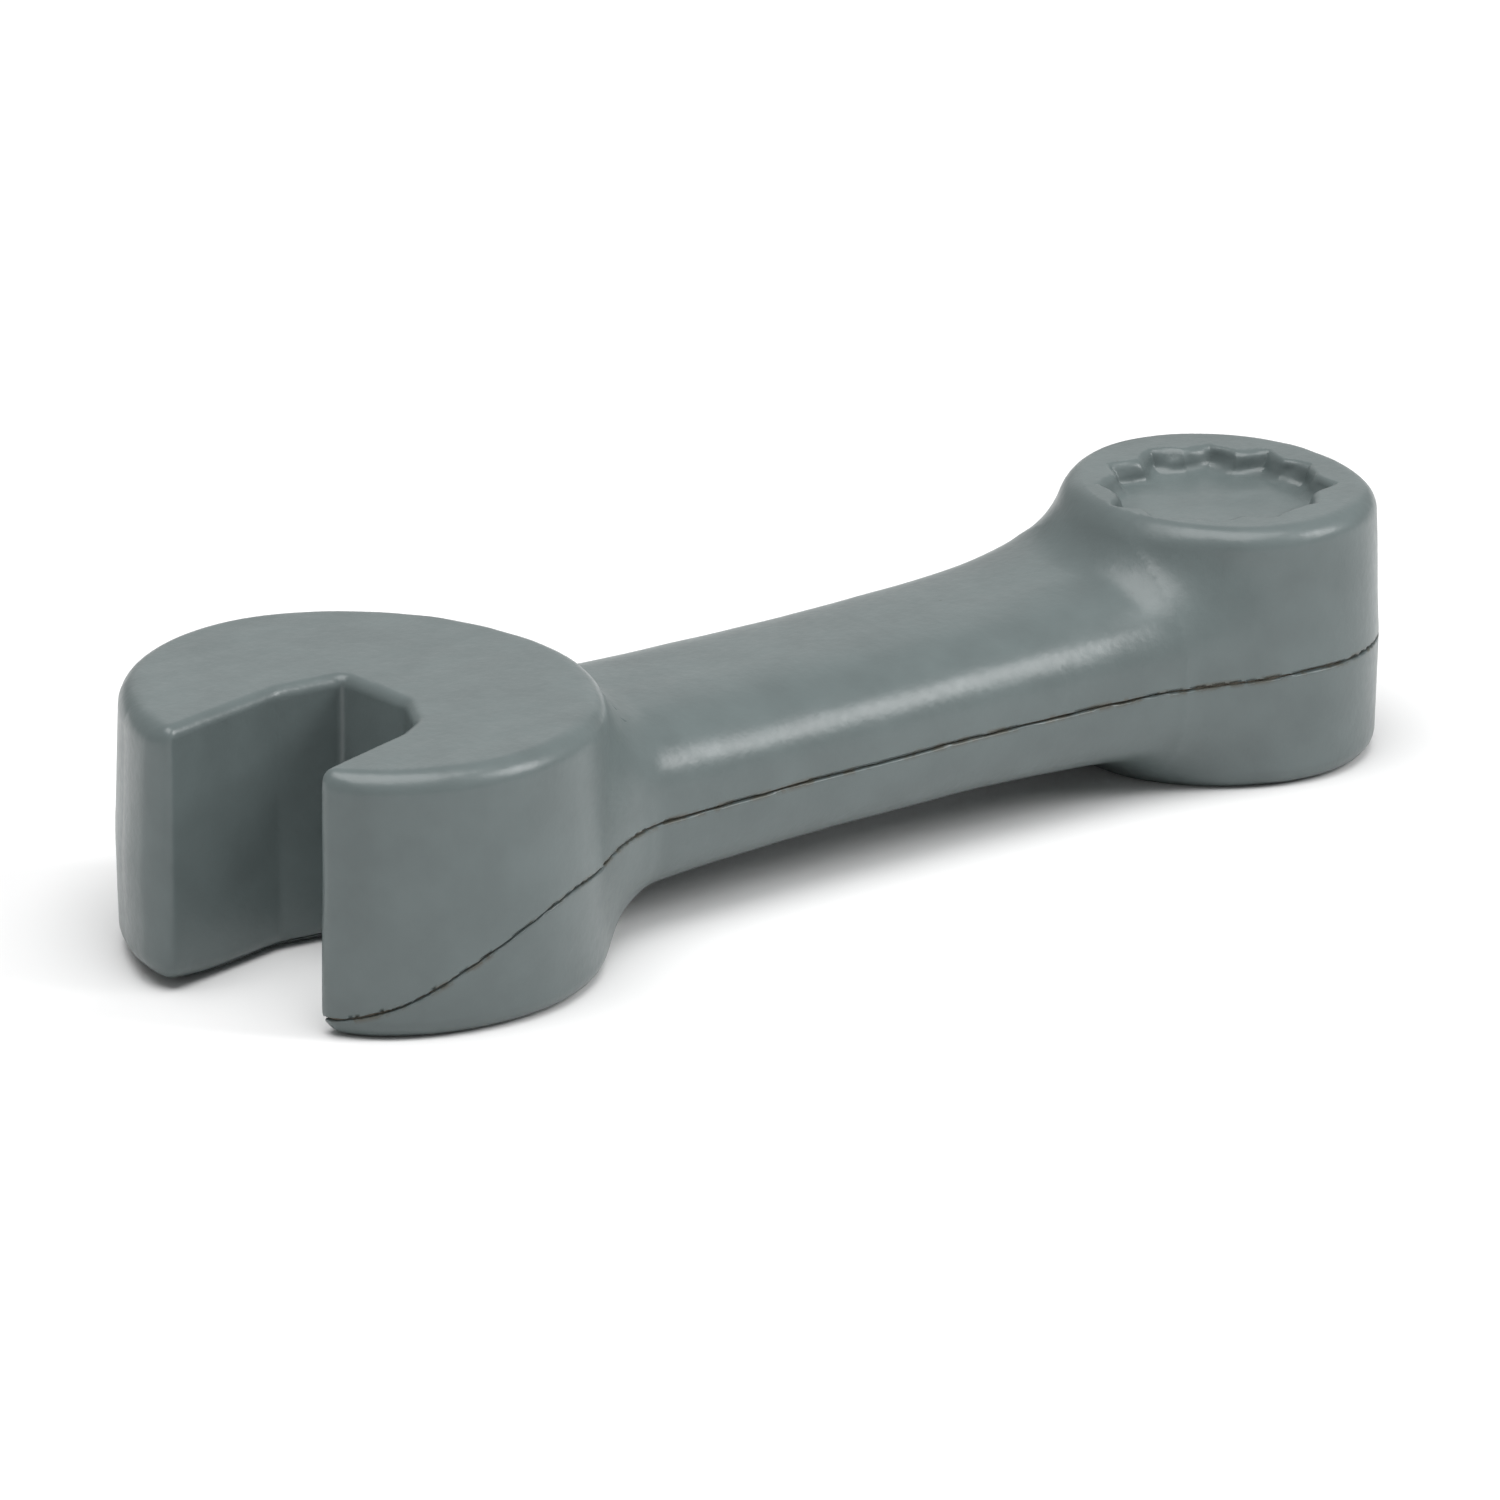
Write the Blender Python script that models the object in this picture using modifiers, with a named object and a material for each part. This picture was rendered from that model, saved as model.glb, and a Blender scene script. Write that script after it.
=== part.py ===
"""Combination wrench moulded in soft foam: two painted skin halves around a foam core.

Millimetres times MM. +X runs from the open jaw to the ring, +Z is up, and the origin is the
bottom centre of the bounding box, on the plane that the two heads rest on.
"""

import math

import bmesh
import bpy

MM = 0.001

# Overall form
HEAD_HEIGHT = 25.4
JAW_X = -45.2
RING_X = 52.6
RING_Y = -2.0
JAW_RADIUS_X = 22.0
JAW_RADIUS_Y = 24.4
RING_RADIUS_X = 14.3
RING_RADIUS_Y = 16.1
JAW_EDGE_RADIUS = 2.2
RING_EDGE_RADIUS = 1.8
WALL_DRAFT = 0.03  # outward slope of every outer wall towards the parting line

# Handle section, a superellipse
HANDLE_Y = -0.7
HANDLE_HALF_WIDTH = 12.5
HANDLE_HALF_HEIGHT = 7.9
HANDLE_SQUARENESS = 2.9
FLARE_JAW = (1.1, 11.0)  # extra half width and depth at the head's wall, and how fast it fades
FLARE_RING = (1.2, 9.0)
FILLET_LENGTH_JAW = 5.0  # how far the final blend into the head reaches along the handle
FILLET_LENGTH_RING = 5.0
FILLET_WIDTH = 0.4  # and how much wider and deeper still the handle is where it meets the head
FILLET_HEIGHT = 2.2

# Mouth of the jaw, in its own frame: s runs inwards along the mouth's axis, t across it
MOUTH_ANGLE = math.radians(16.0)
MOUTH_SHIFT = -1.98
MOUTH_RIGHT_FACE = (-90.0, 7.79)  # direction in degrees and distance of each wall
MOUTH_LEFT_FACE = (85.5, 7.87)
MOUTH_CORNER_RADIUS = 1.0
MOUTH_BACK_FACES = ((71.3, 5.86), (-13.8, 0.6), (-42.3, 1.9), (-73.9, 5.5))
TIP_LEFT = (-18.7, 9.2)  # inner corner of each tip, and how far its face slants back outwards
TIP_RIGHT = (-20.7, -8.5)
TIP_SLOPE_LEFT = -0.36
TIP_SLOPE_RIGHT = 0.33

# Blind twelve-point recess in the ring
RECESS_POINTS = 12
RECESS_RADIUS = 10.7
RECESS_VALLEY_RATIO = 0.89
RECESS_DEPTH = 2.2
RECESS_X = 51.6
RECESS_Y = -2.4

# Parting line: level along the handle, falling to the bottom edge at the jaw's tips
PARTING_HEIGHT = 11.3
PARTING_TIP_HEIGHT = 0.7
PARTING_RAMP_START = -21.0
PARTING_RAMP_END = 8.5

# Construction
SKIN = 1.2
GAP = 0.3
MOUTH_FOOT = 0.6  # the upper skin's lip under the core along the mouth
HEAD_STEPS = 44
RIM_SEGMENTS = 3
SECTION_POINTS = 32
OVERCUT = 6.0

PAINT_COLOR = (0.195, 0.237, 0.235, 1.0)
LOWER_COLOR = (0.165, 0.205, 0.204, 1.0)
FOAM_COLOR = (0.42, 0.36, 0.27, 1.0)


def clear_scene():
    for obj in list(bpy.data.objects):
        bpy.data.objects.remove(obj, do_unlink=True)


def make_collection(name):
    collection = bpy.data.collections.new(name)
    bpy.context.scene.collection.children.link(collection)
    return collection


def make_material(name, color, roughness, metallic=0.0):
    material = bpy.data.materials.new(name)
    material.use_nodes = True
    shader = material.node_tree.nodes["Principled BSDF"]
    shader.inputs["Base Color"].default_value = color
    shader.inputs["Roughness"].default_value = roughness
    shader.inputs["Metallic"].default_value = metallic
    return material


def make_object(name, mesh, collection, helper=True):
    obj = bpy.data.objects.new(name, mesh)
    collection.objects.link(obj)
    if helper:
        obj.hide_render = True
        obj.display_type = "WIRE"
    return obj


def boolean(obj, operation, other):
    modifier = obj.modifiers.new(f"{operation.lower()}_{other.name}", "BOOLEAN")
    modifier.operation = operation
    modifier.object = other
    modifier.solver = "EXACT"


def mesh_from_faces(name, points, faces):
    """A mesh in metres from points in millimetres."""
    mesh = bpy.data.meshes.new(name)
    mesh.from_pydata([[value * MM for value in point] for point in points], [], faces)
    shape = bmesh.new()
    shape.from_mesh(mesh)
    bmesh.ops.recalc_face_normals(shape, faces=shape.faces)
    shape.to_mesh(mesh)
    shape.free()
    return mesh


def loft(name, sections, collection):
    """Closed solid through sections of equal point count, with flat end caps."""
    count = len(sections[0])
    points = [point for section in sections for point in section]
    faces = []
    for level in range(len(sections) - 1):
        for i in range(count):
            j = (i + 1) % count
            low, high = level * count, (level + 1) * count
            faces.append((low + i, low + j, high + j, high + i))
    faces.append(tuple(range(count)))
    faces.append(tuple((len(sections) - 1) * count + i for i in range(count)))
    return make_object(name, mesh_from_faces(name, points, faces), collection)


def prism(name, outline, bottom, top, collection):
    """Upright solid over a plan outline."""
    levels = [[(x, y, z) for x, y in outline] for z in (bottom, top)]
    return loft(name, levels, collection)


# ---------------------------------------------------------------- heads


def rim_arc(radius, centre_r, centre_z, start, end):
    return [
        (
            centre_r + radius * math.sin(math.radians(start + (end - start) * i / RIM_SEGMENTS)),
            centre_z + radius * math.cos(math.radians(start + (end - start) * i / RIM_SEGMENTS)),
        )
        for i in range(RIM_SEGMENTS + 1)
    ]


def head_profile(radius, edge_radius, inset):
    """Half profile of a head, from the top centre down its outer side to the bottom centre."""
    top, bottom = HEAD_HEIGHT - inset, inset
    edge = max(edge_radius - inset, 0.5)
    wall = radius - inset
    wall_top = wall - WALL_DRAFT * (HEAD_HEIGHT - PARTING_HEIGHT)
    wall_bottom = wall - WALL_DRAFT * PARTING_HEIGHT
    profile = [(0.0, top)]
    profile += rim_arc(edge, wall_top - edge, top - edge, 0, 90)
    profile.append((wall, PARTING_HEIGHT))
    profile += rim_arc(edge, wall_bottom - edge, bottom + edge, 90, 180)
    profile.append((0.0, bottom))
    return profile


def turned_head(name, radius_x, radius_y, edge_radius, centre, inset, collection):
    profile = head_profile(radius_x, edge_radius, inset)
    mesh = bpy.data.meshes.new(name)
    mesh.from_pydata(
        [(r * MM, 0, z * MM) for r, z in profile],
        [(i, i + 1) for i in range(len(profile) - 1)],
        [],
    )
    obj = make_object(name, mesh, collection)
    obj.location = (centre[0] * MM, centre[1] * MM, 0)
    obj.scale = (1, (radius_y - inset) / (radius_x - inset), 1)
    screw = obj.modifiers.new("turn", "SCREW")
    screw.axis = "Z"
    screw.steps = HEAD_STEPS
    screw.render_steps = HEAD_STEPS
    screw.use_merge_vertices = True
    screw.merge_threshold = 0.00001
    screw.use_smooth_shade = True
    return obj


# ---------------------------------------------------------------- handle


def fillet_share(distance, length):
    """Share of a fillet's full size at this distance from the head: 1 at the head, 0 past it."""
    reach = min(max(1 - distance / length, 0.0), 1.0)
    return 1 - math.sqrt(1 - reach * reach)


def head_wall(y, radius_x, radius_y):
    """How far from a head's centre, along X, its outline crosses this y."""
    return radius_x * math.sqrt(1 - min(abs(y) / radius_y, 0.99) ** 2)


def handle_section(head, distance, inset):
    """Superellipse section this far from a head's wall, bent in plan to follow that wall.

    The section is wider and deeper near the wall.
    """
    if head == "jaw":
        length, (flare_size, flare_length) = FILLET_LENGTH_JAW, FLARE_JAW
    else:
        length, (flare_size, flare_length) = FILLET_LENGTH_RING, FLARE_RING
    share = fillet_share(distance, length)
    spread = flare_size * math.exp(-max(distance, 0) / flare_length) - inset
    half_width = HANDLE_HALF_WIDTH + FILLET_WIDTH * share + spread
    half_height = HANDLE_HALF_HEIGHT + FILLET_HEIGHT * share + spread
    power = 2 / HANDLE_SQUARENESS
    section = []
    for i in range(SECTION_POINTS):
        angle = 2 * math.pi * i / SECTION_POINTS
        across, up = math.cos(angle), math.sin(angle)
        y = HANDLE_Y + half_width * math.copysign(abs(across) ** power, across)
        z = PARTING_HEIGHT + half_height * math.copysign(abs(up) ** power, up)
        if head == "jaw":
            x = JAW_X + head_wall(y, JAW_RADIUS_X, JAW_RADIUS_Y) + distance - inset
        else:
            x = RING_X - head_wall(y - RING_Y, RING_RADIUS_X, RING_RADIUS_Y) - distance + inset
        section.append((x, y, z))
    return section


def handle_stations():
    """(head, distance from its wall) of each section, from the jaw to the ring."""
    shares = (0.0, 0.1, 0.22, 0.38, 0.6, 1.0)
    stations = [("jaw", -6.0)]
    stations += [("jaw", FILLET_LENGTH_JAW * share) for share in shares]
    stations += [("jaw", distance) for distance in (9.0, 15.0, 24.0)]
    stations += [("ring", distance) for distance in (18.0, 12.0, 8.0)]
    stations += [("ring", FILLET_LENGTH_RING * share) for share in reversed(shares)]
    stations.append(("ring", -5.0))
    return stations


# ---------------------------------------------------------------- mouth and recess


def convex_outline(planes, corner_radius):
    """Rounded convex outline from (direction in degrees, distance) pairs in turning order."""
    count = len(planes)
    normals = [(math.cos(math.radians(a)), math.sin(math.radians(a))) for a, _ in planes]
    corners = []
    for i in range(count):
        (ax, ay), (bx, by) = normals[i - 1], normals[i]
        da, db = planes[i - 1][1] - corner_radius, planes[i][1] - corner_radius
        cross = ax * by - ay * bx
        corners.append(((da * by - db * ay) / cross, (ax * db - bx * da) / cross))
    outline = []
    for i, (cx, cy) in enumerate(corners):
        start, end = planes[i - 1][0], planes[i][0]
        turn = (end - start + 180) % 360 - 180
        steps = max(1, round(abs(turn) / 25))
        for step in range(steps + 1):
            angle = math.radians(start + turn * step / steps)
            outline.append(
                (cx + corner_radius * math.cos(angle), cy + corner_radius * math.sin(angle))
            )
    return outline


def mouth_to_part(outline):
    """From the mouth's own frame to the part's plan."""
    cos, sin = math.cos(MOUTH_ANGLE), math.sin(MOUTH_ANGLE)
    return [
        (JAW_X + s * cos - (t + MOUTH_SHIFT) * sin, s * sin + (t + MOUTH_SHIFT) * cos)
        for s, t in outline
    ]


def mouth_outline(offset):
    faces = (MOUTH_RIGHT_FACE, *reversed(MOUTH_BACK_FACES), MOUTH_LEFT_FACE)
    planes = [(180.0, 40.0)]
    planes += [(angle, distance + offset) for angle, distance in faces]
    return mouth_to_part(convex_outline(planes, MOUTH_CORNER_RADIUS + offset))


def tip_outline(offset):
    """Everything in front of the jaw's two slanted tip faces."""
    far, reach = -60.0, 30.0
    left_s, left_t = TIP_LEFT[0] + offset, TIP_LEFT[1]
    right_s, right_t = TIP_RIGHT[0] + offset, TIP_RIGHT[1]
    return mouth_to_part(
        [
            (left_s, left_t),
            (left_s + TIP_SLOPE_LEFT * reach, left_t + reach),
            (far, left_t + reach),
            (far, right_t - reach),
            (right_s + TIP_SLOPE_RIGHT * reach, right_t - reach),
            (right_s, right_t),
        ]
    )


def star_outline(offset):
    outline = []
    for i in range(2 * RECESS_POINTS):
        radius = RECESS_RADIUS * (RECESS_VALLEY_RATIO if i % 2 else 1.0) + offset
        angle = math.pi * i / RECESS_POINTS
        outline.append(
            (
                RECESS_X + radius * math.cos(angle),
                RECESS_Y + radius * math.sin(angle),
            )
        )
    return outline


# ---------------------------------------------------------------- whole form and its split


def wrench_body(name, inset, collection):
    """The whole outer form, drawn in by inset on every side."""
    body = loft(name, [handle_section(*station, inset) for station in handle_stations()], collection)
    jaw = turned_head(
        f"{name}_jaw", JAW_RADIUS_X, JAW_RADIUS_Y, JAW_EDGE_RADIUS, (JAW_X, 0), inset, collection
    )
    ring = turned_head(
        f"{name}_ring",
        RING_RADIUS_X,
        RING_RADIUS_Y,
        RING_EDGE_RADIUS,
        (RING_X, RING_Y),
        inset,
        collection,
    )
    below, above = -OVERCUT, HEAD_HEIGHT + OVERCUT
    mouth = prism(f"{name}_mouth", mouth_outline(inset), below, above, collection)
    tips = prism(f"{name}_tips", tip_outline(inset), below - 1, above + 1, collection)
    floor = HEAD_HEIGHT - RECESS_DEPTH - inset
    recess = prism(f"{name}_recess", star_outline(inset), floor, above, collection)
    boolean(body, "UNION", jaw)
    boolean(body, "UNION", ring)
    boolean(body, "DIFFERENCE", mouth)
    boolean(body, "DIFFERENCE", tips)
    boolean(body, "DIFFERENCE", recess)
    return body


def parting_height(x):
    along = min(max((x - JAW_X - PARTING_RAMP_START) / (PARTING_RAMP_END - PARTING_RAMP_START), 0), 1)
    rise = PARTING_HEIGHT - PARTING_TIP_HEIGHT
    return PARTING_TIP_HEIGHT + rise * along * along * (3 - 2 * along)


def lower_region(name, lift, mouth_offset, collection):
    """The space that the lower skin fills: under the parting line and clear of the mouth."""
    left, right, side = JAW_X - 40, RING_X + 40, 40.0
    ramp_start, ramp_end = JAW_X + PARTING_RAMP_START, JAW_X + PARTING_RAMP_END
    ramp_steps = 10
    stations = [left]
    stations += [ramp_start + (ramp_end - ramp_start) * i / ramp_steps for i in range(ramp_steps + 1)]
    stations.append(right)
    outline = [(x, parting_height(x) + lift) for x in stations]
    outline += [(right, -OVERCUT), (left, -OVERCUT)]
    sections = [[(x, y, z) for x, z in outline] for y in (-side, side)]
    region = loft(name, sections, collection)
    mouth = prism(
        f"{name}_mouth", mouth_outline(mouth_offset), -OVERCUT - 1, HEAD_HEIGHT, collection
    )
    boolean(region, "DIFFERENCE", mouth)
    return region


def finish(obj, name, material, collection, cutters):
    """Turns a finished helper into a visible part."""
    cutters.objects.unlink(obj)
    collection.objects.link(obj)
    obj.name = name
    obj.hide_render = False
    obj.display_type = "TEXTURED"
    obj.data.materials.append(material)
    obj.data.shade_smooth()
    obj.data.set_sharp_from_angle(angle=math.radians(35))


def build():
    clear_scene()
    parts = make_collection("combination_wrench")
    cutters = make_collection("cutters")
    hollow = wrench_body("hollow", SKIN, cutters)
    below = lower_region("below", 0.0, SKIN + MOUTH_FOOT + GAP, cutters)
    below_and_gap = lower_region("below_and_gap", GAP, SKIN + MOUTH_FOOT, cutters)

    upper = wrench_body("upper", 0.0, cutters)
    boolean(upper, "DIFFERENCE", hollow)
    boolean(upper, "DIFFERENCE", below_and_gap)
    lower = wrench_body("lower", 0.0, cutters)
    boolean(lower, "DIFFERENCE", hollow)
    boolean(lower, "INTERSECT", below)
    core = wrench_body("core", SKIN + GAP, cutters)

    paint = make_material("grey_green_paint", PAINT_COLOR, 0.45)
    lower_paint = make_material("grey_green_paint_lower", LOWER_COLOR, 0.5)
    foam = make_material("raw_foam", FOAM_COLOR, 0.95)
    finish(upper, "upper_skin", paint, parts, cutters)
    finish(lower, "lower_skin", lower_paint, parts, cutters)
    finish(core, "foam_core", foam, parts, cutters)


build()
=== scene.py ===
"""Moulded foam combination wrench: two satin-painted skins over a raw foam core.

Lengths are in millimetres unless a name says otherwise; the frame itself is in metres.
"""

import math

import bpy
import numpy as np
from mathutils import Matrix, Vector


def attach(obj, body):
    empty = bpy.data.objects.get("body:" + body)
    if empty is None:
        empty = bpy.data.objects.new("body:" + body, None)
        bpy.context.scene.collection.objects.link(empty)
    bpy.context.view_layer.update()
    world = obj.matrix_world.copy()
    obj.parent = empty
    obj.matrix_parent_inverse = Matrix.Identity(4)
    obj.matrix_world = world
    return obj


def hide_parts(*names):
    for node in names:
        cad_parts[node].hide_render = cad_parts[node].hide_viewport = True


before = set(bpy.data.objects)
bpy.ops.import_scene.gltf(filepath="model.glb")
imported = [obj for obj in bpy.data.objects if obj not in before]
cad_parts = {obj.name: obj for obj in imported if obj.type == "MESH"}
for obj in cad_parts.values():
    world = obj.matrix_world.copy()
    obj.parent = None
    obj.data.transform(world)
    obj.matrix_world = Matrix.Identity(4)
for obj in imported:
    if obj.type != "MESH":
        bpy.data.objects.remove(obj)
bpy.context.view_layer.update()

MM = 0.001

# Overall form
HEIGHT = 25.4
JAW = (-45.2, 0.0)
RING = (52.6, -2.0)
JAW_RADII = (21.9, 24.3)
RING_RADII = (14.1, 16.0)
JAW_SQUARENESS = 1.96
JAW_TIP_SQUARENESS = 2.12  # fuller towards the two tips
RING_SQUARENESS = 2.06
RIM_RADIUS_JAW = 2.1
RIM_RADIUS_RING = 2.0
BOTTOM_RADIUS = 2.0
TIP_LIFT = 1.2  # the jaw's tips rise off the rest plane
TIP_LIFT_SPAN = (-57.0, -66.0)
DRAFT = 0.03

# Handle
HANDLE_Y = -0.7
HANDLE_HALF_WIDTH = 12.6
HANDLE_HALF_HEIGHT = 7.95
HANDLE_CENTRE_HEIGHT = 11.5
HANDLE_SQUARENESS = 2.9
HANDLE_END = 3.0  # the bar stops this far short of each head's centre
HANDLE_END_ROUNDING = 5.0
FLARE_JAW = (1.1, 11.0)
FLARE_RING = (1.8, 7.5)
FILLET_JAW = 5.5
FILLET_RING = 5.0

# Mouth outline in plan: (x, y, corner radius), from outside the left tip round to the right tip
MOUTH_OUTLINE = (
    (-95.0, 42.8, 0.0),
    (-65.6, 1.7, 1.3),
    (-51.35, 4.72, 3.0),
    (-44.6, 3.95, 0.8),
    (-43.94, -4.76, 2.0),
    (-46.23, -9.39, 2.0),
    (-49.36, -11.35, 3.0),
    (-57.9, -13.85, 4.0),
    (-61.9, -15.2, 1.8),
    (-55.65, -27.7, 0.0),
    (-95.0, -60.0, 0.0),
)
MOUTH_EDGE = 1.1  # rounding of the mouth's edges
MOUTH_EDGE_BOTTOM = (2.4, 5.0)  # softer at the bottom, from this height down
MOUTH_LEAN = 0.012  # each wall leans in this much per unit of depth
MOUTH_LIP = 1.6  # the upper skin wraps the mouth's walls this deep
LIP_FADE = 0.6
LIP_WALL = (1.0, 3.0)  # the lip starts this far inside the jaw's outer wall
MOUTH_REACH = -34.0  # past this x the mouth is too far away to matter
MOUTH_FAR = 9.0

# Twelve-point recess
RECESS_CENTRE = (51.6, -2.4)
RECESS_POINTS = 12
RECESS_TIP = 10.8
RECESS_VALLEY = 9.6
RECESS_DEPTH = 2.1
RECESS_EDGE = 0.55
RECESS_SLOPE = 0.36  # its torn walls close in downwards
RECESS_FLOOR_EDGE = 0.7
RECESS_TURN = 0.12
RECESS_OUT_OF_ROUND = ((3, 0.22, 0.6), (7, 0.12, 2.1))  # lobes, size and phase

# Parting line
PARTING_HEIGHT = 11.3
PARTING_TIP_HEIGHT = 0.7
RAMP_START = -21.0
RAMP_END = 8.5
SEAM_GAP = 0.14
SEAM_EDGE = 0.1
SKIN = 1.2
CORE_INSET = 0.35

# Unevenness of the moulding: layers of (seed, size, wavelength)
BODY_RIPPLE = ((2, 0.05, 14.0), (3, 0.015, 4.0))
SEAM_RIPPLE = ((7, 0.05, 9.0), (8, 0.03, 2.5))
RECESS_WALL_RIPPLE = ((11, 0.17, 3.4), (12, 0.04, 1.8))
RECESS_FLOOR_RIPPLE = ((5, 0.16, 9.0),)

# Meshing
SETTLE_ROUNDS = 3
SETTLE_STEP = 0.02
LONGEST_MOVE = 0.3
LEAST_SLOPE = 0.25  # squared

# Colours
UPPER_PAINT = (0.115, 0.141, 0.141)
# the lower skin's colour is the upper paint made slightly darker: painted shade on the lower half
LOWER_PAINT_PAINTED_SHADE = (0.112, 0.137, 0.137)
SPECK_COLOR = (0.05, 0.055, 0.05, 1.0)
WORN_SEAM_COLOR = (0.085, 0.08, 0.062, 1.0)
FOAM_DARK = (0.045, 0.042, 0.035, 1.0)
FOAM_LIGHT = (0.16, 0.14, 0.11, 1.0)
FLOOR_DARK = (0.83, 0.83, 0.83, 1.0)
FLOOR_LIGHT = (0.85, 0.85, 0.85, 1.0)

# Studio, in metres and watts
FLOOR_HALF_SIDE = 6.0
WORLD_STRENGTH = 0.32
LIGHTS = (
    ("overhead_softbox", (-0.2, -0.1, 1.2), (1.2, 1.0), 16.5),
    ("side_softbox", (0.83, -0.85, 0.84), (0.45, 0.7), 10.0),
    ("back_softbox", (0.91, 1.2, 0.55), (1.2, 0.8), 1.2),
)
CAMERA_AZIMUTH = -0.6519
CAMERA_ELEVATION = 0.3473
CAMERA_DISTANCE = 1.8414
CAMERA_TARGET = (-0.003, -0.0007, 0.01264)
CAMERA_ASIDE = -0.00063  # slopes from the lens's axis to the target
CAMERA_ABOVE = 0.00114
CAMERA_LENS = 480.0
CAMERA_SENSOR = 36.0


# ---------------------------------------------------------------- signed distances


def round_max(a, b, radius):
    """Intersection of two solids with a rounded convex edge."""
    inner = np.minimum(np.maximum(a + radius, b + radius), 0)
    return inner + np.hypot(np.maximum(a + radius, 0), np.maximum(b + radius, 0)) - radius


def round_min(a, b, radius):
    """Union of two solids with a rounded concave fillet."""
    return -round_max(-a, -b, radius)


def oval(x, y, radii, squareness):
    """Superellipse in plan; a squareness of 2 is an ellipse."""
    n = squareness
    across, along = np.abs(x / radii[0]) + 1e-6, np.abs(y / radii[1]) + 1e-6
    q = (across**n + along**n) ** (1 / n)
    slope = np.hypot(across ** (n - 1) / radii[0], along ** (n - 1) / radii[1]) / q ** (n - 1)
    return (q - 1) / slope


def waves(x, y, z, seed, length, count=5):
    """Smooth deterministic undulation between about -1 and 1, with this wavelength."""
    rng = np.random.default_rng(seed)
    total = 0
    for _ in range(count):
        direction = rng.normal(size=3)
        direction *= 2 * math.pi / (length * rng.uniform(0.7, 1.4) * np.linalg.norm(direction))
        phase = rng.uniform(0, 2 * math.pi)
        total = total + np.sin(direction[0] * x + direction[1] * y + direction[2] * z + phase)
    return total / count**0.5 / 1.2


def ripple(x, y, z, layers):
    return sum(size * waves(x, y, z, seed, length) for seed, size, length in layers)


def head(x, y, z, centre, radii, squareness, rim):
    """Upright oval drum, widest at the parting height, with rounded rims."""
    dx, dy = x - centre[0], y - centre[1]
    if centre == JAW:
        fuller = np.where(dy < 0, 1.0, np.clip(2 - dy / 5.0, 0, 1)) * (dx < 0)
        squareness = squareness + (JAW_TIP_SQUARENESS - squareness) * fuller
    wall = oval(dx, dy, radii, squareness)
    wall = wall + DRAFT * np.abs(z - PARTING_HEIGHT)
    tip = np.clip((x - TIP_LIFT_SPAN[0]) / (TIP_LIFT_SPAN[1] - TIP_LIFT_SPAN[0]), 0, 1)
    underside = TIP_LIFT * tip * tip - z
    return round_max(round_max(wall, z - HEIGHT, rim), underside, BOTTOM_RADIUS)


def handle(x, y, z):
    """Bar of nearly constant section that flares gently towards both heads."""
    from_jaw = np.maximum(x - JAW[0] - JAW_RADII[0], 0)
    from_ring = np.maximum(RING[0] - RING_RADII[0] - x, 0)
    flare = FLARE_JAW[0] * np.exp(-from_jaw / FLARE_JAW[1])
    flare = flare + FLARE_RING[0] * np.exp(-from_ring / FLARE_RING[1])
    half_width = HANDLE_HALF_WIDTH + flare
    half_height = HANDLE_HALF_HEIGHT + flare
    halves = (half_width, half_height)
    section = oval(y - HANDLE_Y, z - HANDLE_CENTRE_HEIGHT, halves, HANDLE_SQUARENESS)
    ends = np.maximum(JAW[0] - x, x - RING[0]) + HANDLE_END
    return round_max(section, ends, HANDLE_END_ROUNDING)


def filleted(points, steps=5):
    """Closed outline with each corner of (x, y, radius) turned into an arc."""
    outline = []
    corners = [Vector(point[:2]) for point in points]
    for i, (_, _, radius) in enumerate(points):
        here = corners[i]
        before = (corners[i - 1] - here).normalized()
        after = (corners[(i + 1) % len(corners)] - here).normalized()
        half = before.angle(after) / 2
        if radius == 0:
            outline.append(tuple(here))
            continue
        centre = here + (before + after).normalized() * (radius / math.sin(half))
        start, end = (here + side * (radius / math.tan(half)) - centre for side in (before, after))
        turn = start.angle_signed(end)
        for k in range(steps + 1):
            arm = start.copy()
            arm.rotate(Matrix.Rotation(-turn * k / steps, 2))
            outline.append(tuple(centre + arm))
    return outline


def polygon(x, y, points):
    """Signed distance in plan to a closed polygon, negative inside."""
    nearest = np.full(np.broadcast(x, y).shape, 1e9)
    inside = np.zeros(nearest.shape, bool)
    for (ax, ay), (bx, by) in zip(points, points[1:] + points[:1]):
        ex, ey = bx - ax, by - ay
        wx, wy = x - ax, y - ay
        share = np.clip((wx * ex + wy * ey) / (ex * ex + ey * ey), 0, 1)
        nearest = np.minimum(nearest, (wx - ex * share) ** 2 + (wy - ey * share) ** 2)
        crosses = (ay > y) != (by > y)
        inside ^= crosses & ((wx * ey - wy * ex < 0) == (ey > 0))
    return np.sqrt(nearest) * np.where(inside, -1, 1)


MOUTH_POINTS = filleted(MOUTH_OUTLINE)


def mouth(x, y, z):
    """Distance to the open space of the mouth, whose walls lean in a little downwards."""
    x, y = np.broadcast_arrays(x, y)
    plan = np.full(x.shape, MOUTH_FAR)
    near = x < MOUTH_REACH
    plan[near] = np.minimum(polygon(x[near], y[near], MOUTH_POINTS), MOUTH_FAR)
    return plan + MOUTH_LEAN * (HEIGHT - z)


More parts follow.
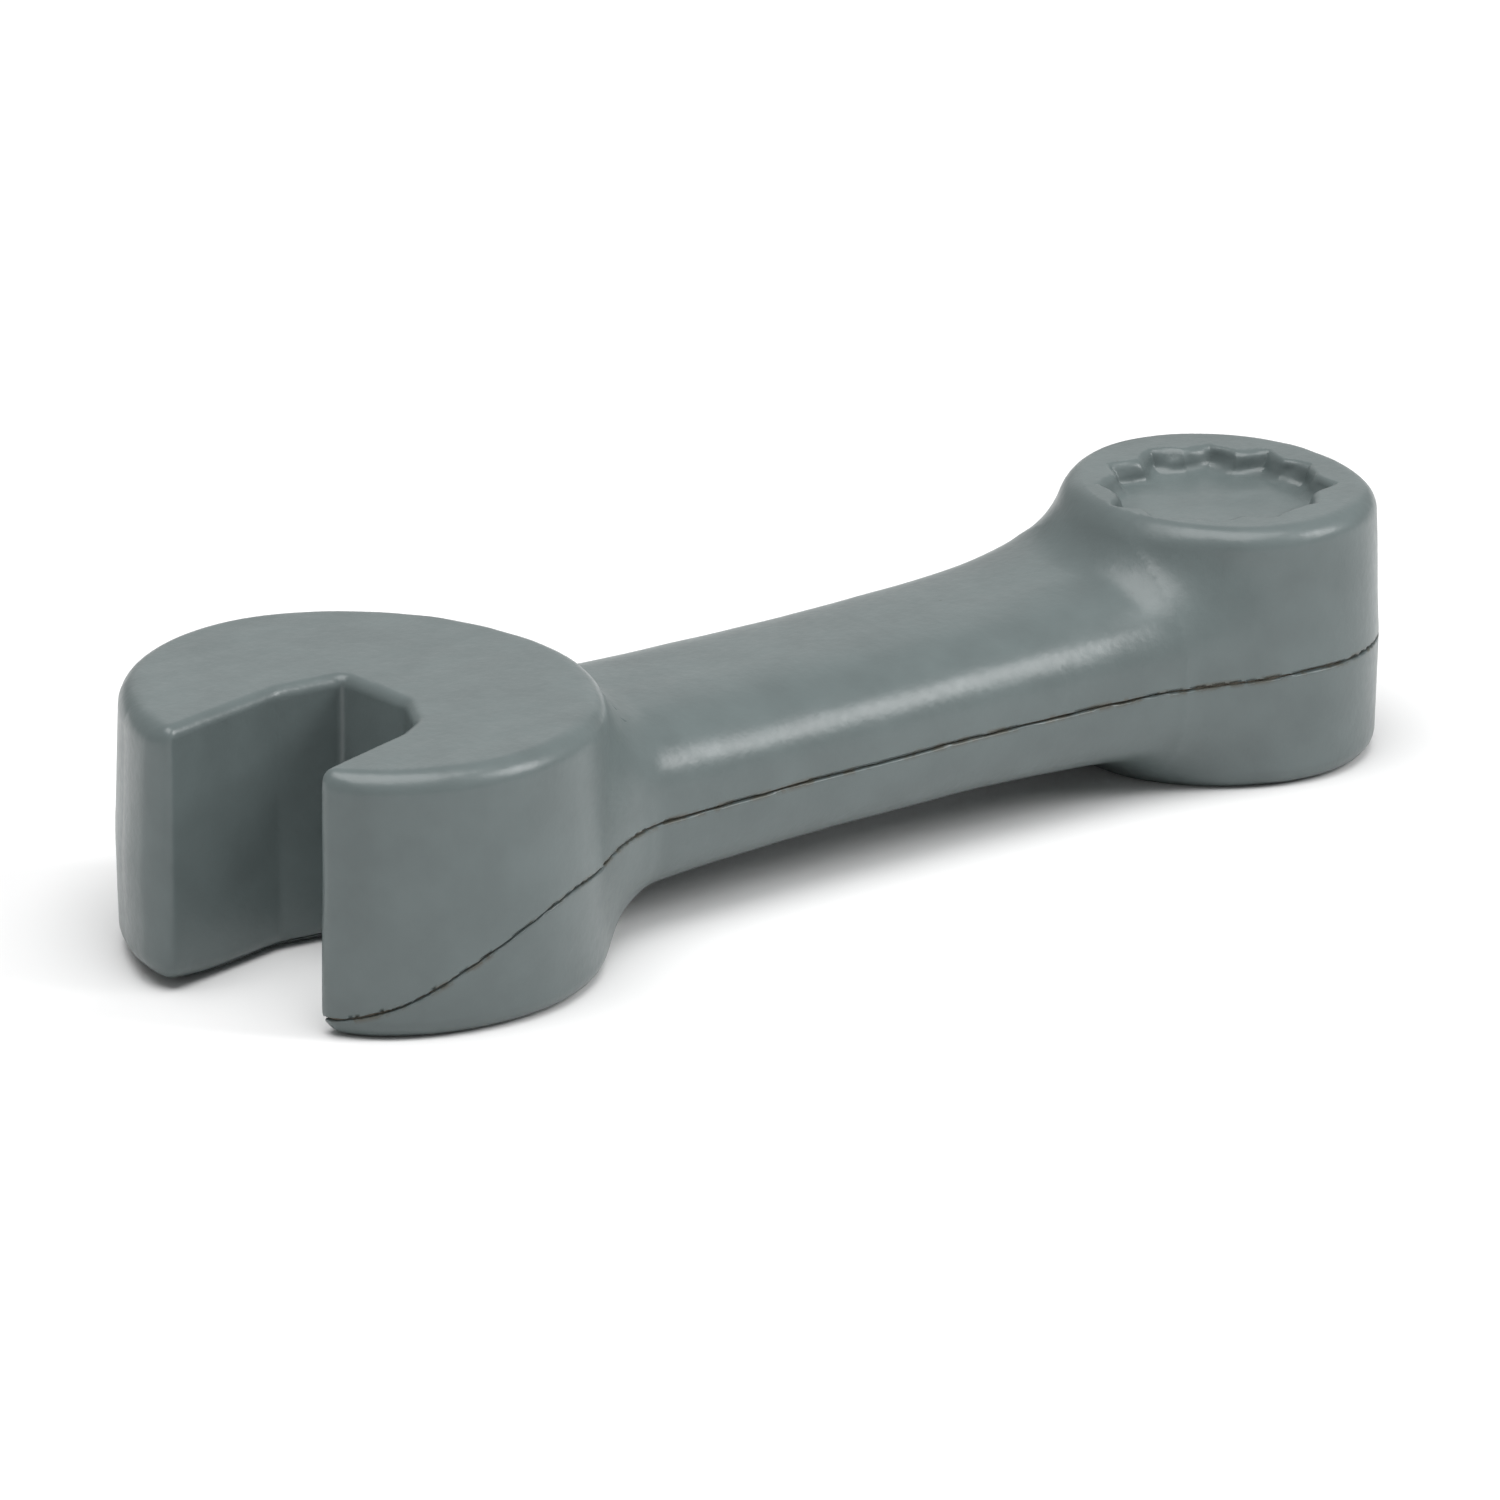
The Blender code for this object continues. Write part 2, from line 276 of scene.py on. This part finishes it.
def recess(x, y, z):
    """Distance to the blind star recess, uneven and out of round like torn foam."""
    dx, dy = x - RECESS_CENTRE[0], y - RECESS_CENTRE[1]
    angle = np.arctan2(dy, dx)
    radius = np.hypot(dx, dy)
    for lobes, size, phase in RECESS_OUT_OF_ROUND:
        radius = radius * (1 + size / RECESS_TIP * np.sin(lobes * angle + phase))
    step = 2 * math.pi / RECESS_POINTS
    fold = np.abs((angle + RECESS_TURN) % step - step / 2)
    px, py = radius * np.cos(fold), radius * np.sin(fold)
    tip = np.array((RECESS_TIP * math.cos(step / 2), RECESS_TIP * math.sin(step / 2)))
    valley = np.array((RECESS_VALLEY, 0.0))
    edge = (tip - valley) / np.linalg.norm(tip - valley)
    normal = (edge[1], -edge[0])
    star = (px - valley[0]) * normal[0] + (py - valley[1]) * normal[1]
    star = star + RECESS_SLOPE * (HEIGHT - z) + ripple(x, y, z, RECESS_WALL_RIPPLE)
    floor = HEIGHT - RECESS_DEPTH + ripple(x, y, z, RECESS_FLOOR_RIPPLE)
    return round_max(star, floor - z, RECESS_FLOOR_EDGE)


def body(x, y, z):
    """Distance to the whole wrench, with its mouth and recess cut."""
    jaw = head(x, y, z, JAW, JAW_RADII, JAW_SQUARENESS, RIM_RADIUS_JAW)
    ring = head(x, y, z, RING, RING_RADII, RING_SQUARENESS, RIM_RADIUS_RING)
    bar = handle(x, y, z)
    solid = round_min(bar, jaw, FILLET_JAW)
    solid = round_min(solid, ring, FILLET_RING)
    solid = np.maximum(solid, np.maximum(-z, z - HEIGHT))
    softer = np.clip(1 - z / MOUTH_EDGE_BOTTOM[1], 0, 1)
    edge = MOUTH_EDGE + (MOUTH_EDGE_BOTTOM[0] - MOUTH_EDGE) * softer
    solid = round_max(solid, -mouth(x, y, z), edge)
    solid = round_max(solid, -recess(x, y, z), RECESS_EDGE)
    return solid + ripple(x, y, z, BODY_RIPPLE)


def parting(x):
    """Height of the parting line, level along the handle and falling to the jaw's tips."""
    along = np.clip((x - JAW[0] - RAMP_START) / (RAMP_END - RAMP_START), 0, 1)
    rise = PARTING_HEIGHT - PARTING_TIP_HEIGHT
    return PARTING_TIP_HEIGHT + rise * along * along * (3 - 2 * along)


def above_parting(x, y, z):
    """Height over the parting surface, which wavers a little as a real mould seam does."""
    seam = parting(x)
    lip = np.clip((MOUTH_LIP + LIP_FADE - mouth(x, y, z)) / LIP_FADE, 0, 1)
    depth = -oval(x - JAW[0], y - JAW[1], JAW_RADII, JAW_SQUARENESS)
    lip = lip * np.clip((depth - LIP_WALL[0]) / (LIP_WALL[1] - LIP_WALL[0]), 0, 1)
    height = z - (seam + (np.minimum(seam, PARTING_TIP_HEIGHT) - seam) * lip)
    return height + ripple(x, y, 0 * z, SEAM_RIPPLE)


def upper_skin(outer, over):
    """The painted skin over the parting surface, from the body's distance and that height."""
    return round_max(np.maximum(outer, -outer - SKIN), SEAM_GAP / 2 - over, SEAM_EDGE)


def lower_skin(outer, over):
    return round_max(np.maximum(outer, -outer - SKIN), SEAM_GAP / 2 + over, SEAM_EDGE)


def foam_core(outer, over):
    return outer + CORE_INSET


# ---------------------------------------------------------------- meshing


def spaced(stops):
    """Coordinates through (position, step from here on) stops."""
    values = []
    for (start, step), (end, _) in zip(stops, stops[1:]):
        count = max(1, round((end - start) / step))
        values += [start + (end - start) * i / count for i in range(count)]
    values.append(stops[-1][0])
    return np.array(values)


def make_grid(xs, ys, levels):
    """Grid points whose heights follow the parting surface.

    levels run 0 to 1 from the bottom to the parting surface and 1 to 2 from there to the top.
    """
    grid_x, grid_y, _ = np.meshgrid(xs, ys, levels, indexing="ij")
    seam = parting(xs)[:, None, None]
    low = np.minimum(levels, 1)[None, None, :]
    high = np.maximum(levels - 1, 0)[None, None, :]
    grid_z = np.broadcast_to(low * seam + high * (HEIGHT - seam), grid_x.shape)
    return np.stack([grid_x, grid_y, grid_z], -1)


def surface_net(points, values):
    """Points and quads of the surface where values on the grid change sign."""
    inside = values < 0
    cells = np.array(values.shape) - 1
    slots = int(cells.prod())
    total = np.zeros((3, slots))
    count = np.zeros(slots)
    quads = []
    for axis in range(3):
        ahead = np.eye(3, dtype=int)[axis]
        lower = tuple(slice(0, -1) if k == axis else slice(None) for k in range(3))
        upper = tuple(slice(1, None) if k == axis else slice(None) for k in range(3))
        index = np.argwhere(inside[lower] != inside[upper])
        here, after = tuple(index.T), tuple((index + ahead).T)
        share = (values[here] / (values[here] - values[after]))[:, None]
        crossing = points[here] * (1 - share) + points[after] * share
        around = []
        for du, dv in ((1, 1), (0, 1), (0, 0), (1, 0)):
            cell = index.copy()
            cell[:, (axis + 1) % 3] -= du
            cell[:, (axis + 2) % 3] -= dv
            around.append(np.ravel_multi_index(cell.T, cells, mode="clip"))
        for cell in around:
            count += np.bincount(cell, minlength=slots)
            for k in range(3):
                total[k] += np.bincount(cell, weights=crossing[:, k], minlength=slots)
        quad = np.stack(around, 1)
        outward = inside[here]
        quads.append(np.where(outward[:, None], quad, quad[:, ::-1]))
    used = np.flatnonzero(count)
    number = np.full(slots, -1)
    number[used] = np.arange(len(used))
    return (total[:, used] / count[used]).T, number[np.concatenate(quads)]


def settle(distance, points):
    """Points moved along the distance's gradient onto the surface, and its normals there."""
    step = SETTLE_STEP
    for _ in range(SETTLE_ROUNDS):
        x, y, z = points.T
        value = distance(x, y, z)
        gradient = np.stack(
            [
                distance(x + step, y, z) - distance(x - step, y, z),
                distance(x, y + step, z) - distance(x, y - step, z),
                distance(x, y, z + step) - distance(x, y, z - step),
            ],
            1,
        ) / (2 * step)
        size = np.maximum((gradient**2).sum(1), LEAST_SLOPE)
        move = np.clip(value / size, -LONGEST_MOVE, LONGEST_MOVE)[:, None] * gradient
        points = points - move
    return points, gradient / np.sqrt(size)[:, None]


def make_piece(name, distance, grid, values, material):
    points, quads = surface_net(grid, values)
    points, normals = settle(distance, points)
    points[:, 2] = np.clip(points[:, 2], 0, HEIGHT)
    mesh = bpy.data.meshes.new(name)
    mesh.vertices.add(len(points))
    mesh.vertices.foreach_set("co", (points * MM).ravel())
    mesh.loops.add(quads.size)
    mesh.loops.foreach_set("vertex_index", quads.ravel().astype(np.int32))
    mesh.polygons.add(len(quads))
    mesh.polygons.foreach_set("loop_start", np.arange(0, quads.size, 4, dtype=np.int32))
    mesh.polygons.foreach_set("use_smooth", np.ones(len(quads), bool))
    mesh.update(calc_edges=True)
    mesh.validate()
    mesh.normals_split_custom_set_from_vertices(normals.tolist())
    mesh.materials.append(material)
    piece = bpy.data.objects.new(name, mesh)
    bpy.context.scene.collection.objects.link(piece)
    return piece


# ---------------------------------------------------------------- materials


class Nodes:
    """Short names for adding and joining shader nodes."""

    def __init__(self, name):
        self.material = bpy.data.materials.new(name)
        self.material.use_nodes = True
        self.tree = self.material.node_tree
        self.shader = self.tree.nodes["Principled BSDF"]

    def add(self, kind, inputs=None, **settings):
        node = self.tree.nodes.new(kind)
        for key, value in settings.items():
            setattr(node, key, value)
        for key, value in (inputs or {}).items():
            if isinstance(value, bpy.types.NodeSocket):
                self.tree.links.new(value, node.inputs[key])
            else:
                node.inputs[key].default_value = value
        return node

    def noise(self, position, scale, detail=3.0, roughness=0.5):
        node = self.add(
            "ShaderNodeTexNoise",
            {"Vector": position, "Scale": scale, "Detail": detail, "Roughness": roughness},
        )
        return node.outputs["Fac"]

    def ranged(self, value, low, high, to_low, to_high):
        node = self.add(
            "ShaderNodeMapRange",
            {
                "Value": value,
                "From Min": low,
                "From Max": high,
                "To Min": to_low,
                "To Max": to_high,
            },
        )
        return node.outputs["Result"]

    def mix(self, share, first, second):
        node = self.add("ShaderNodeMix", data_type="RGBA")
        for key, value in ((0, share), (6, first), (7, second)):
            if isinstance(value, bpy.types.NodeSocket):
                self.tree.links.new(value, node.inputs[key])
            else:
                node.inputs[key].default_value = value
        return node.outputs[2]

    def math(self, operation, first, second):
        return self.add("ShaderNodeMath", {0: first, 1: second}, operation=operation).outputs[0]

    def bump(self, height, strength, distance, normal=None):
        inputs = {"Height": height, "Strength": strength, "Distance": distance}
        if normal is not None:
            inputs["Normal"] = normal
        return self.add("ShaderNodeBump", inputs).outputs["Normal"]

    def link(self, output, socket):
        self.tree.links.new(output, self.shader.inputs[socket])


def seam_wear(nodes, position):
    """Broken specks of bare foam along the parting line on the outer walls."""
    place = nodes.add("ShaderNodeSeparateXYZ", {0: position}).outputs
    ramp = nodes.add(
        "ShaderNodeMapRange",
        {
            "Value": place["X"],
            "From Min": (JAW[0] + RAMP_START) * MM,
            "From Max": (JAW[0] + RAMP_END) * MM,
            "To Min": PARTING_TIP_HEIGHT * MM,
            "To Max": PARTING_HEIGHT * MM,
        },
        interpolation_type="SMOOTHSTEP",
    ).outputs["Result"]
    away = nodes.math("ABSOLUTE", nodes.math("SUBTRACT", place["Z"], ramp), 0.0)
    band = nodes.ranged(away, 0.15 * MM, 0.55 * MM, 1.0, 0.0)
    across = nodes.math("SUBTRACT", place["X"], JAW[0] * MM)
    across = nodes.math("DIVIDE", across, JAW_RADII[0] * MM)
    along = nodes.math("DIVIDE", place["Y"], JAW_RADII[1] * MM)
    reach = nodes.math(
        "ADD", nodes.math("MULTIPLY", across, across), nodes.math("MULTIPLY", along, along)
    )
    outer = nodes.ranged(reach, 0.8, 0.86, 0.0, 1.0)
    patches = nodes.ranged(nodes.noise(position, 420.0, 4.0, 0.7), 0.47, 0.57, 0.0, 0.8)
    return nodes.math("MULTIPLY", nodes.math("MULTIPLY", band, outer), patches)


def paint_material(name, color):
    """Satin paint over foam: fine grain, faint mottling and scattered dark specks."""
    nodes = Nodes(name)
    position = nodes.add("ShaderNodeTexCoord").outputs["Object"]
    mottle = nodes.noise(position, 180.0, 4.0)
    fine = nodes.noise(position, 1200.0, 3.0)
    light = tuple(min(1, c * 1.05) for c in color) + (1.0,)
    dark = tuple(c * 0.93 for c in color) + (1.0,)
    base = nodes.mix(nodes.ranged(mottle, 0.35, 0.65, 0.0, 1.0), dark, light)
    specks = nodes.add("ShaderNodeTexVoronoi", {"Vector": position, "Scale": 330.0})
    pick = nodes.ranged(
        nodes.add("ShaderNodeSeparateColor", {"Color": specks.outputs["Color"]}).outputs["Red"],
        0.93,
        0.95,
        0.0,
        1.0,
    )
    spot = nodes.ranged(specks.outputs["Distance"], 0.035, 0.055, 1.0, 0.0)
    speck = nodes.math("MULTIPLY", pick, spot)
    base = nodes.mix(nodes.math("MULTIPLY", speck, 0.45), base, SPECK_COLOR)
    wear = seam_wear(nodes, position)
    base = nodes.mix(wear, base, WORN_SEAM_COLOR)
    nodes.link(base, "Base Color")
    nodes.link(nodes.ranged(fine, 0.3, 0.7, 0.29, 0.35), "Roughness")
    grain = nodes.bump(fine, 0.16, 0.0002)
    lumps = nodes.bump(nodes.noise(position, 160.0, 2.0), 0.04, 0.001, grain)
    nodes.link(lumps, "Normal")
    nodes.shader.inputs["IOR"].default_value = 1.46
    return nodes.material


def foam_material(name):
    """Torn cell foam, tan with darker cells."""
    nodes = Nodes(name)
    position = nodes.add("ShaderNodeTexCoord").outputs["Object"]
    cells = nodes.add("ShaderNodeTexVoronoi", {"Vector": position, "Scale": 1800.0})
    shade = nodes.noise(position, 500.0, 3.0)
    base = nodes.mix(shade, FOAM_DARK, FOAM_LIGHT)
    nodes.link(base, "Base Color")
    nodes.link(nodes.ranged(shade, 0.0, 1.0, 0.85, 1.0), "Roughness")
    nodes.link(nodes.bump(cells.outputs["Distance"], 0.5, 0.0003), "Normal")
    return nodes.material


def floor_material():
    nodes = Nodes("studio_floor")
    position = nodes.add("ShaderNodeTexCoord").outputs["Object"]
    tone = nodes.noise(position, 3.0, 2.0)
    nodes.link(nodes.mix(tone, FLOOR_DARK, FLOOR_LIGHT), "Base Color")
    nodes.shader.inputs["Roughness"].default_value = 1.0
    nodes.shader.inputs["Specular IOR Level"].default_value = 0.0
    return nodes.material


# ---------------------------------------------------------------- stage


def make_floor():
    mesh = bpy.data.meshes.new("studio_floor")
    side = FLOOR_HALF_SIDE
    corners = ((-side, -side, 0), (side, -side, 0), (side, side, 0), (-side, side, 0))
    mesh.from_pydata(corners, [], [(0, 1, 2, 3)])
    mesh.materials.append(floor_material())
    floor = bpy.data.objects.new("studio_floor", mesh)
    bpy.context.scene.collection.objects.link(floor)
    return floor


def area_light(name, position, size, power):
    """A rectangular softbox that faces the object."""
    data = bpy.data.lights.new(name, "AREA")
    data.shape = "RECTANGLE"
    data.size, data.size_y = size
    data.energy = power
    light = bpy.data.objects.new(name, data)
    light.location = position
    light.rotation_euler = (-Vector(position)).to_track_quat("-Z", "Y").to_euler()
    bpy.context.scene.collection.objects.link(light)


def make_camera():
    """A long lens from above the near side and the jaw's end."""
    level = math.cos(CAMERA_ELEVATION)
    back = Vector(
        (
            math.sin(CAMERA_AZIMUTH) * level,
            -math.cos(CAMERA_AZIMUTH) * level,
            math.sin(CAMERA_ELEVATION),
        )
    )
    right = Vector((math.cos(CAMERA_AZIMUTH), math.sin(CAMERA_AZIMUTH), 0))
    up = back.cross(right)
    data = bpy.data.cameras.new("camera")
    data.sensor_width = CAMERA_SENSOR
    data.lens = CAMERA_LENS
    data.clip_end = 20.0
    camera = bpy.data.objects.new("camera", data)
    arm = back - CAMERA_ASIDE * right - CAMERA_ABOVE * up
    place = Vector(CAMERA_TARGET) + CAMERA_DISTANCE * arm
    turned = Matrix((right, up, back)).transposed().to_4x4()
    camera.matrix_world = Matrix.Translation(place) @ turned
    bpy.context.scene.collection.objects.link(camera)
    bpy.context.scene.camera = camera


def make_world(strength):
    world = bpy.data.worlds.new("studio")
    world.use_nodes = True
    world.node_tree.nodes["Background"].inputs["Color"].default_value = (1, 1, 1, 1)
    world.node_tree.nodes["Background"].inputs["Strength"].default_value = strength
    bpy.context.scene.world = world


def build():
    paint = paint_material("grey_green_paint", UPPER_PAINT)
    # slightly darker copy of the same paint for the lower skin: painted shade
    lower_paint_with_painted_shade = paint_material("grey_green_paint_lower", LOWER_PAINT_PAINTED_SHADE)
    foam = foam_material("raw_foam")

    coarse = 1.0
    xs = spaced(
        (
            (-68.4, 0.4 * coarse),
            (-40.0, 0.6 * coarse),
            (-24.0, 0.9 * coarse),
            (24.0, 0.6 * coarse),
            (39.5, 0.26 * coarse),
            (63.5, 0.45 * coarse),
            (68.4, 1.0),
        )
    )
    ys = spaced(((-25.5, 0.5 * coarse), (-14.5, 0.34 * coarse), (9.5, 0.5 * coarse), (25.5, 1.0)))
    levels = spaced(
        (
            (-0.04, 0.025 * coarse),
            (0.25, 0.06 * coarse),
            (0.94, 0.02 * coarse),
            (1.06, 0.06 * coarse),
            (1.76, 0.02 * coarse),
            (2.04, 1.0),
        )
    )
    grid = make_grid(xs, ys, levels)
    outer = body(*np.moveaxis(grid, -1, 0))
    over = above_parting(*np.moveaxis(grid, -1, 0))
    pieces = (
        ("upper_skin", upper_skin, paint, "paint_upper"),
        ("lower_skin", lower_skin, lower_paint_with_painted_shade, "paint_lower"),
        ("foam_core", foam_core, foam, "raw_foam"),
    )
    for node, solid, material, slot in pieces:

        def distance(x, y, z, solid=solid):
            return solid(body(x, y, z), above_parting(x, y, z))

        piece = make_piece(f"{node}_surface", distance, grid, solid(outer, over), material)
        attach(piece, "root")
        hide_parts(node)

    make_floor()
    make_camera()
    make_world(WORLD_STRENGTH)
    for light in LIGHTS:
        area_light(*light)
    bpy.context.scene.view_settings.view_transform = "Standard"


build()
